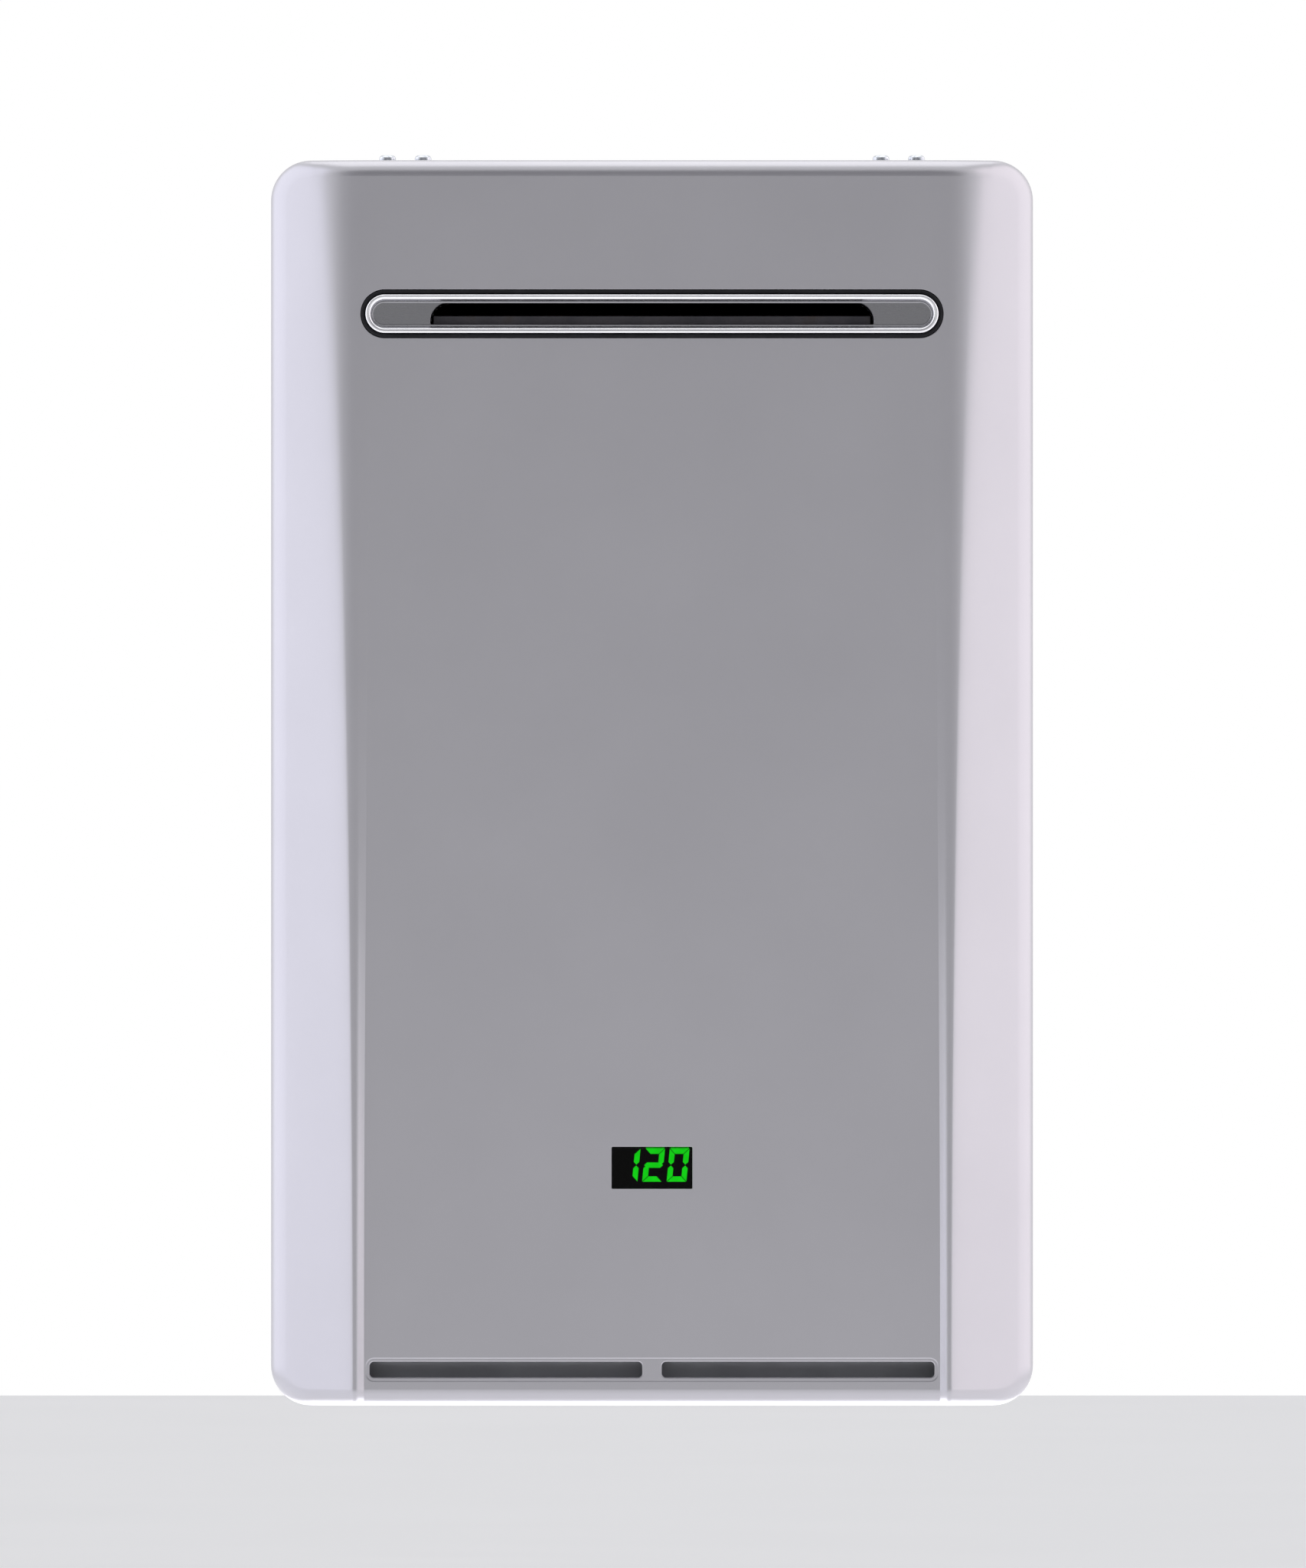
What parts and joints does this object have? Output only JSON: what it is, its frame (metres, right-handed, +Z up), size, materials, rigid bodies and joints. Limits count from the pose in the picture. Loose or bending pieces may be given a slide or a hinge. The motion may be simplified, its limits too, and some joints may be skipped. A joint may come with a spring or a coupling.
{
  "type": "tankless water heater",
  "caption": "Wall-hung outdoor tankless gas water heater: pressed front cover over a steel casing, flue outlet above, display window, air slots and pipe fittings below.",
  "frame": {"origin": "middle of the upper wall bracket's rear face, on the wall plane", "axes": "+Y into the wall, the heater's front faces -Y, +Z up, +X to the right seen from the front"},
  "size_m": [0.356, 0.2569, 0.5838],
  "materials": {
    "silver_paint": "fine metallic silver powder coat",
    "galvanised_steel": "galvanised sheet",
    "stainless_steel": "pressed stainless steel",
    "dark_steel": "dark heat-tinted steel",
    "zinc_plate": "zinc-plated steel",
    "copper": "brazed copper, lightly oxidised",
    "brass": "forged and turned brass",
    "cast_aluminium": "die-cast",
    "black_rubber": "matte",
    "black_plastic": "fine-grained",
    "grey_plastic": "moulded",
    "white_ceramic": "glazed insulator",
    "circuit_board": "coated board",
    "clear_lens": "smoked clear acrylic"
  },
  "bodies": {
    "casing": {"casing_wrapper": "silver_paint", "back_panel": "galvanised_steel", "wall_bracket_top": "galvanised_steel", "wall_bracket_bottom": "galvanised_steel", "flue_hood": "stainless_steel", "flue_gasket": "black_rubber", "flue_baffle": "dark_steel", "flue_collector": "stainless_steel", "exchanger_wall": "copper", "fin_block": "copper", "combustion_shell": "copper", "exchanger_coil": "copper", "burner_box": "galvanised_steel", "burner_rack": "stainless_steel", "gas_manifold": "cast_aluminium", "ignition_electrode": "white_ceramic", "flame_rod": "white_ceramic", "fan_housing": "galvanised_steel", "fan_motor": "black_plastic", "bottom_plate": "galvanised_steel", "cold_inlet": "brass", "hot_outlet": "brass", "gas_inlet": "brass", "cold_grommet": "black_rubber", "hot_grommet": "black_rubber", "gas_grommet": "black_rubber", "flow_sensor": "black_plastic", "water_valve": "brass", "valve_servo": "black_plastic", "gas_valve": "cast_aluminium", "gas_solenoid": "black_plastic", "cold_feed_pipe": "copper", "hot_outlet_pipe": "copper", "gas_pipe": "galvanised_steel", "inlet_deflector": "galvanised_steel", "cross_brace": "galvanised_steel", "stack_bracket": "galvanised_steel", "cable_gland": "black_plastic", "controller_case": "black_plastic", "controller_board": "circuit_board", "controller_lid": "black_plastic", "display_module": "black_plastic", "terminal_block": "grey_plastic", "igniter": "black_plastic", "ignition_lead": "black_rubber", "overheat_switch": "cast_aluminium", "outlet_thermistor": "black_plastic"},
    "cover": {"front_cover": "silver_paint", "display_window": "clear_lens", "cover_screw_1": "zinc_plate", "cover_screw_2": "zinc_plate", "cover_screw_3": "zinc_plate", "cover_screw_4": "zinc_plate"},
    "fan": {"fan_impeller": "cast_aluminium"},
    "turbine": {"flow_turbine": "grey_plastic"},
    "water_plug": {"water_valve_plug": "stainless_steel"},
    "plunger": {"gas_plunger": "zinc_plate"},
    "filter": {"filter_cap": "black_plastic", "filter_strainer": "stainless_steel"},
    "drain": {"drain_plug": "brass"}
  },
  "joints": [
    {"name": "cover_slide", "type": "slide", "parent": "casing", "child": "cover", "axis": [0, -1, 0], "range_m": [0, 0.12]},
    {"name": "fan_spin", "type": "hinge", "parent": "casing", "child": "fan", "pos_m": [-0.048, -0.1244, -0.3983], "axis": [0, 1, 0], "continuous": true},
    {"name": "flow_turbine_spin", "type": "hinge", "parent": "casing", "child": "turbine", "pos_m": [0.118, -0.122, -0.464], "axis": [0, 0, 1], "continuous": true},
    {"name": "water_valve_turn", "type": "hinge", "parent": "casing", "child": "water_plug", "pos_m": [0.118, -0.122, -0.4202], "axis": [0, 1, 0], "range_deg": [0, 90]},
    {"name": "gas_plunger_slide", "type": "slide", "parent": "casing", "child": "plunger", "axis": [0, -1, 0], "range_m": [0, 0.003], "stiffness_N_per_m": 300, "springref_m": -0.003},
    {"name": "filter_pull", "type": "slide", "parent": "casing", "child": "filter", "axis": [0, 0, -1], "range_m": [0, 0.045]},
    {"name": "drain_pull", "type": "slide", "parent": "casing", "child": "drain", "axis": [0, 0, -1], "range_m": [0, 0.012]}
  ]
}
